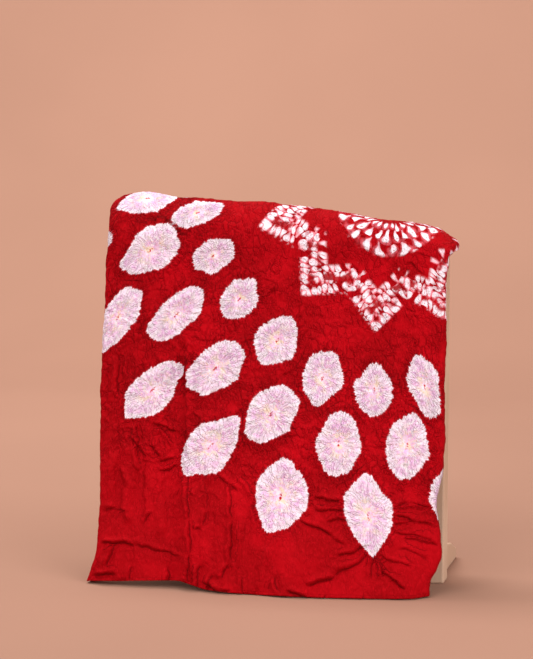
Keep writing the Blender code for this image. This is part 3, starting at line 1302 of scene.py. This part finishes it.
    def add_hem(self, bench: Bench, height: object) -> object:
        """Raise the narrow turned hem and sink its row of stitches.

        Args:
            bench: the material's workbench.
            height: the height so far, in millimetres.

        Returns:
            The height.
        """
        edge = bench.times(bench.pattern(Pattern.HEM, "Fac"), 1.0 / MM)
        height = bench.math("ADD", height, bench.ramp(edge, 5.0, 6.2, 0.9, 0.0))
        seam = bench.math("ABSOLUTE", bench.math("SUBTRACT", edge, 5.2))
        return bench.math("ADD", height, bench.ramp(seam, 0.0, 0.7, -0.8, 0.0))


@dataclass(frozen=True)
class BoardFinish:
    """Matt cream paint over a plain board, with faint brush marks and rubbed patches."""

    name: str
    cream: Colour = (0.49, 0.31, 0.21)
    pale: Colour = (0.56, 0.375, 0.265)
    rubbed: Colour = (0.50, 0.33, 0.22)
    smoothest: float = 0.52
    roughest: float = 0.7
    brush_relief: float = 0.16
    speck_relief: float = 0.08

    def make(self) -> bpy.types.Material:
        """Build the board's material.

        Returns:
            The material.
        """
        bench = Bench(self.name)
        place = bench.node("ShaderNodeTexCoord").outputs["Object"]
        x, y, z = bench.split(place)
        brushed = bench.join(bench.times(x, 9.0), bench.times(y, 9.0), z)
        brush = bench.noise(brushed, 34.0, 3.0, 0.2)
        cloud = bench.noise(place, 7.0, 3.0)
        speck = bench.noise(place, 260.0, 2.0)
        colour = bench.blend(bench.ramp(cloud, 0.35, 0.7), self.cream, self.pale)
        colour = bench.blend(bench.ramp(brush, 0.55, 0.8, 0.0, 0.25), colour, self.pale)
        worn = bench.times(bench.ramp(z, 0.0, 0.05, 0.7, 0.05), bench.ramp(speck, 0.58, 0.68))
        colour = bench.blend(worn, colour, self.rubbed)
        bench.feed(bench.shader.inputs["Base Color"], colour)
        sheen = bench.ramp(cloud, 0.3, 0.7, self.smoothest, self.roughest)
        bench.feed(bench.shader.inputs["Roughness"], sheen)
        bench.bump(bench.more(bench.times(speck, self.speck_relief), brush, self.brush_relief), MM)
        return bench.material


@dataclass
class BandhaniCloth:
    """The draped cloth: one sheet with its hems, worked out from its drape and folds."""

    thickness: float = 1.6
    side_wobble: float = 1.0
    drape: Drape = field(default_factory=Drape)
    grid: Grid = field(default_factory=Grid)
    ties: OvalField = field(default_factory=OvalField)
    star: StarMotif = field(default_factory=StarMotif)
    creases: Creases = field(default_factory=Creases)
    crinkle: Crinkle = field(default_factory=Crinkle)
    finish: ClothFinish = field(default_factory=ClothFinish)

    def middle(self) -> tuple[np.ndarray, ...]:
        """Lay the smooth drape on the grid.

        Returns:
            Points by row and column in millimetres, places across the flat cloth, and along it.
        """
        share, beyond, side = self.grid.columns()
        along = self.grid.rows()[:, None] * np.ones_like(share)[None, :]
        drape = self.drape
        height = drape.line(np.zeros_like(along), along)[1]
        on_front = along <= 1.5
        left = np.where(
            on_front, drape.sides.read(height, "left"), drape.back_sides.read(along, "left")
        )
        right = np.where(
            on_front, drape.sides.read(height, "right"), drape.back_sides.read(along, "right")
        )
        left, right = left + drape.turn_radius, right - drape.turn_radius
        across = left + (right - left) * share
        across += self.side_wobble * (2.0 * share - 1.0) ** 5 * self.wobble(share, height, along)
        margin = np.where(
            side < 0, drape.margins.read(along, "left"), drape.margins.read(along, "right")
        )
        angle = np.minimum(beyond * 2.0, 1.0) * math.pi / 2.0
        turned = np.abs(side) * np.ones_like(along)
        straight = np.maximum(beyond * 2.0 - 1.0, 0.0) * (margin - drape.turn_radius)
        flat = across + side * (drape.turn_radius * angle + straight)
        across = across + side * drape.turn_radius * np.sin(angle)
        inward = turned * (drape.turn_radius * (1.0 - np.cos(angle)) + straight)
        y, z = drape.line(across, along)
        out_y, out_z = drape.outward(across, along)
        lift = drape.main_folds(across, z) * ease((1.0 - along) * 8.0) - inward
        points = np.stack((across, y + out_y * lift, z + out_z * lift), axis=-1)
        return points, flat, along

    @staticmethod
    def wobble(share: np.ndarray, height: np.ndarray, along: np.ndarray) -> np.ndarray:
        """Small waves along the two long sides.

        Args:
            share: share of the flat width of each column.
            height: height of each place, in millimetres.
            along: place of each along the cloth.

        Returns:
            The waves' height.
        """
        place = np.where(share > 0.5, 400.0, 0.0) + np.zeros_like(along)
        run = height + 900.0 * (along > 1.5)
        return Ripple(51, 30.0).at(place, run) + 0.7 * Ripple(52, 12.0).at(place, run)

    @staticmethod
    def normals(points: np.ndarray) -> np.ndarray:
        """Find the unit normals of a grid of points.

        Args:
            points: the points, by row and column.

        Returns:
            The normals, out of the cloth's face.
        """
        up = np.gradient(points, axis=0)
        right = np.gradient(points, axis=1)
        normal = np.cross(right, up)
        return normal / np.linalg.norm(normal, axis=-1, keepdims=True)

    def down_from_top(self, points: np.ndarray, along: np.ndarray) -> np.ndarray:
        """Measure along the drape from the top line.

        Args:
            points: the drape's points, by row and column.
            along: place of each along the cloth.

        Returns:
            Distance down the front, negative down the back, in millimetres.
        """
        steps = np.linalg.norm(np.diff(points, axis=0), axis=-1)
        length = np.concatenate((np.zeros((1, points.shape[1])), np.cumsum(steps, axis=0)))
        top = int(np.searchsorted(along[:, 0], 1.5))
        middle = self.grid.columns()[2] == 0
        inner = np.flatnonzero(middle)
        nearest = np.clip(np.arange(points.shape[1]), inner[0], inner[-1])
        down = length[top][None, :] - length
        return down[:, nearest]

    def build(self) -> bpy.types.Object:
        """Build the cloth's mesh with its pattern attributes and finish.

        Returns:
            The cloth.
        """
        smooth, across, along = self.middle()
        down = self.down_from_top(smooth, along)
        normal = self.normals(smooth)
        side = np.abs(self.grid.columns()[2])[None, :] * np.ones_like(along)
        quiet = 1.0 - 0.6 * side
        lift = self.crinkle.lift(across, down, self.ties)
        folds, valley, strength = self.creases.lift(across, down, self.ties)
        lift = (lift + folds) * quiet
        outer = smooth + normal * lift[..., None]
        outer[..., 2] = np.maximum(outer[..., 2], self.drape.lowest)
        inner = smooth - normal * self.thickness
        inner[..., 2] = np.maximum(inner[..., 2], self.drape.lowest)
        obj = self.stitch_skins(outer, inner)
        self.write_patterns(obj, across, down, (valley, strength))
        obj.data.materials.append(self.finish.make())
        for polygon in obj.data.polygons:
            polygon.use_smooth = True
        return obj

    def stitch_skins(self, outer: np.ndarray, inner: np.ndarray) -> bpy.types.Object:
        """Join the fine outer skin and the coarse inner skin at the rim.

        Args:
            outer: points of the outer skin, by row and column.
            inner: points of the inner skin on the same grid, of which every other one is used.

        Returns:
            The closed cloth.
        """
        rows, columns = outer.shape[:2]
        ids = np.arange(rows * columns).reshape(rows, columns)
        coarse = inner[::2, ::2]
        low = rows * columns + np.arange(coarse.shape[0] * coarse.shape[1]).reshape(
            coarse.shape[:2]
        )
        front = np.stack((ids[:-1, :-1], ids[:-1, 1:], ids[1:, 1:], ids[1:, :-1]), axis=-1)
        back = np.stack((low[:-1, :-1], low[1:, :-1], low[1:, 1:], low[:-1, 1:]), axis=-1)
        faces = front.reshape(-1, 4).tolist() + back.reshape(-1, 4).tolist()
        fine_rim = self.rim(ids)
        coarse_rim = self.rim(low)
        count = len(coarse_rim)
        for index in range(count):
            a, b = coarse_rim[index], coarse_rim[(index + 1) % count]
            c, d = fine_rim[2 * index], fine_rim[2 * index + 1]
            e = fine_rim[(2 * index + 2) % len(fine_rim)]
            faces += [(c, a, d), (d, a, b), (d, b, e)]
        points = np.concatenate((outer.reshape(-1, 3), coarse.reshape(-1, 3))) * MM
        mesh = bpy.data.meshes.new("bandhani_cloth")
        mesh.from_pydata(points.tolist(), [], faces)
        mesh.update()
        obj = bpy.data.objects.new("bandhani_cloth", mesh)
        bpy.context.scene.collection.objects.link(obj)
        return obj

    @staticmethod
    def rim(ids: np.ndarray) -> list[int]:
        """List the grid's outer ring of vertices, once round.

        Args:
            ids: the vertices' numbers, by row and column.

        Returns:
            The ring's numbers.
        """
        ring = list(ids[0, :-1]) + list(ids[:-1, -1])
        ring += list(ids[-1, :0:-1]) + list(ids[:0:-1, 0])
        return [int(index) for index in ring]

    def write_patterns(
        self,
        obj: bpy.types.Object,
        across: np.ndarray,
        down: np.ndarray,
        crease: tuple[np.ndarray, np.ndarray],
    ) -> None:
        """Write the pattern attributes on the outer skin and carry them to the inner one.

        Args:
            obj: the cloth.
            across: place of each grid point across the flat cloth, in millimetres.
            down: place of each grid point down the flat cloth, in millimetres.
            crease: distance from the nearest fold's valley, in millimetres, and its strength.
        """
        a, b, number, past = self.ties.nearest(across, down)
        knots, rows, share, burst = self.star.knots(across, down)
        share = share * ease(past / 4.0)
        to_side = np.minimum(across - across[:, :1], across[:, -1:] - across)
        to_end = np.minimum(down[:1] - down, down - down[-1:])
        zero = np.zeros_like(across)
        fields = {
            Pattern.FLAT: (across * MM, down * MM, zero),
            Pattern.OVAL: (a, b, number),
            Pattern.OVAL_EDGE: (past * MM,),
            Pattern.KNOT: (knots, rows, share),
            Pattern.CREASE: (crease[0] * MM, crease[1], burst),
            Pattern.HEM: (np.minimum(np.abs(to_side), np.abs(to_end)) * MM,),
        }
        for name, parts in fields.items():
            kind = "FLOAT_VECTOR" if len(parts) == 3 else "FLOAT"
            layer = obj.data.attributes.new(name.value, kind, "POINT")
            values = np.stack(parts, axis=-1)
            both = np.concatenate(
                (values.reshape(-1, len(parts)), values[::2, ::2].reshape(-1, len(parts)))
            )
            key = "vector" if len(parts) == 3 else "value"
            layer.data.foreach_set(key, both.astype(np.float32).ravel())

    def flat_size(self) -> tuple[float, float]:
        """Measure the flat cloth.

        Returns:
            Its width and length, in metres.
        """
        smooth, across, _ = self.middle()
        steps = np.linalg.norm(np.diff(smooth[:, smooth.shape[1] // 2], axis=0), axis=-1)
        width = float(np.mean(across[:, -1] - across[:, 0]))
        return round(width * MM, 3), round(float(steps.sum()) * MM, 3)


@dataclass
class StandDressing:
    """Puts the painted finish on the stand's own solids."""

    nodes: tuple[str, ...] = ("board", "crest_rail", "foot_left", "foot_right")

    def dress(self, parts: dict[str, bpy.types.Object]) -> list[str]:
        """Replace each solid's plain finish.

        Args:
            parts: the solids by name.

        Returns:
            The names of the solids dressed.
        """
        for name in self.nodes:
            material = BoardFinish(name + "_paint").make()
            slots = parts[name].data.materials
            slots.clear()
            slots.append(material)
        return list(self.nodes)


@dataclass(frozen=True)
class SoftLight:
    """One soft square light, in metres and watts: where it stands, what it points to, its side."""

    name: str
    place: Place
    aim: Place
    side: float
    power: float

    def build(self) -> None:
        """Put the light in the scene."""
        data = bpy.data.lights.new(self.name, "AREA")
        data.shape = "SQUARE"
        data.size = self.side
        data.energy = self.power
        obj = bpy.data.objects.new(self.name, data)
        bpy.context.scene.collection.objects.link(obj)
        obj.location = self.place
        obj.rotation_mode = "QUATERNION"
        obj.rotation_quaternion = (Vector(self.aim) - obj.location).to_track_quat("-Z", "Y")


@dataclass
class Studio:
    """Plain pale sweep, soft lights and the camera, sizes in metres."""

    half_width: float = 9.0
    front: float = -8.0
    back: float = 4.4
    cove: float = 2.2
    wall: float = 5.0
    cove_steps: int = 16
    floor_colour: Colour = (0.335, 0.180, 0.126)
    floor_clouding: float = 0.96
    lights: tuple[SoftLight, ...] = (
        SoftLight("key_light", (-1.1, -3.0, 2.4), (0.0, 0.0, 0.3), 2.8, 96.0),
        SoftLight("fill_light", (2.8, -2.0, 1.7), (0.0, 0.0, 0.3), 2.4, 98.0),
        SoftLight("wall_light", (-1.2, 0.9, 4.0), (-1.0, 4.2, 0.9), 2.6, 256.0),
    )
    air_colour: Colour = (1.0, 0.93, 0.88)
    air_strength: float = 0.66
    camera_aim: Place = (-0.018, -0.046, 0.41)
    camera_turn: float = 14.0
    camera_distance: float = 3.3
    camera_height: float = 0.76
    camera_lens: float = 112.0

    def sweep(self) -> bpy.types.Object:
        """Build the floor, running up into the wall in one curve.

        Returns:
            The sweep.
        """
        outline = [(self.front, 0.0), (self.back - self.cove, 0.0)]
        for step in range(1, self.cove_steps + 1):
            angle = math.pi / 2.0 * step / self.cove_steps
            depth = self.back - self.cove + self.cove * math.sin(angle)
            outline.append((depth, self.cove * (1.0 - math.cos(angle))))
        outline.append((self.back, self.wall))
        ends = (-self.half_width, self.half_width)
        points = [(x, y, z) for y, z in outline for x in ends]
        faces = [(2 * i, 2 * i + 1, 2 * i + 3, 2 * i + 2) for i in range(len(outline) - 1)]
        mesh = bpy.data.meshes.new("studio_sweep")
        mesh.from_pydata(points, [], faces)
        for polygon in mesh.polygons:
            polygon.use_smooth = True
        obj = bpy.data.objects.new("studio_sweep", mesh)
        bpy.context.scene.collection.objects.link(obj)
        bench = Bench("studio_paper")
        place = bench.node("ShaderNodeTexCoord").outputs["Object"]
        cloud = bench.ramp(bench.noise(place, 1.4, 2.0), 0.3, 0.7)
        deeper = tuple(self.floor_clouding * part for part in self.floor_colour)
        colour = bench.blend(cloud, deeper, self.floor_colour)
        bench.feed(bench.shader.inputs["Base Color"], colour)
        bench.shader.inputs["Roughness"].default_value = 0.9
        bench.shader.inputs["Specular IOR Level"].default_value = 0.15
        obj.data.materials.append(bench.material)
        return obj

    def surround(self) -> None:
        """Light the scene evenly from all round."""
        world = bpy.data.worlds.new("studio_air")
        bpy.context.scene.world = world
        world.use_nodes = True
        air = world.node_tree.nodes["Background"]
        air.inputs["Color"].default_value = (*self.air_colour, 1.0)
        air.inputs["Strength"].default_value = self.air_strength

    def camera(self) -> None:
        """The camera, turned a little to the cloth's right side and looking slightly down."""
        data = bpy.data.cameras.new("studio_camera")
        data.lens = self.camera_lens
        data.sensor_width = 36.0
        obj = bpy.data.objects.new("studio_camera", data)
        bpy.context.scene.collection.objects.link(obj)
        aim = Vector(self.camera_aim)
        turn = math.radians(self.camera_turn)
        run = Vector((math.sin(turn), -math.cos(turn), 0.0)) * self.camera_distance
        obj.location = Vector((aim.x, aim.y, self.camera_height)) + run
        obj.rotation_mode = "QUATERNION"
        obj.rotation_quaternion = (aim - obj.location).to_track_quat("-Z", "Y")
        bpy.context.scene.camera = obj

    def build(self) -> None:
        """Set up the sweep, the lights, the camera and a plain colour response."""
        self.sweep()
        for light in self.lights:
            light.build()
        self.surround()
        self.camera()
        bpy.context.scene.view_settings.view_transform = "Standard"


def corners(box: tuple[Vector, Vector]) -> list[list[float]]:
    """A box's two corners as plain lists."""
    return [[float(part) for part in corner] for corner in box]


def main() -> None:
    """Build the cloth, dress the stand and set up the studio."""
    logging.basicConfig(level=logging.INFO, format="%(name)s: %(message)s")
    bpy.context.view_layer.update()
    cloth = BandhaniCloth()
    piece = cloth.build()
    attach(piece, "root")
    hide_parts("cloth")
    cloth.flat_size()
    LOG.info("cloth: %d faces, flat size %s m", len(piece.data.polygons), cloth.flat_size())
    for name in StandDressing().dress(frame["nodes"]):
        LOG.info("stand: dressed %s", name)
    Studio().build()
    LOG.info("studio: sweep, lights and camera")


if __name__ == "__main__":
    main()
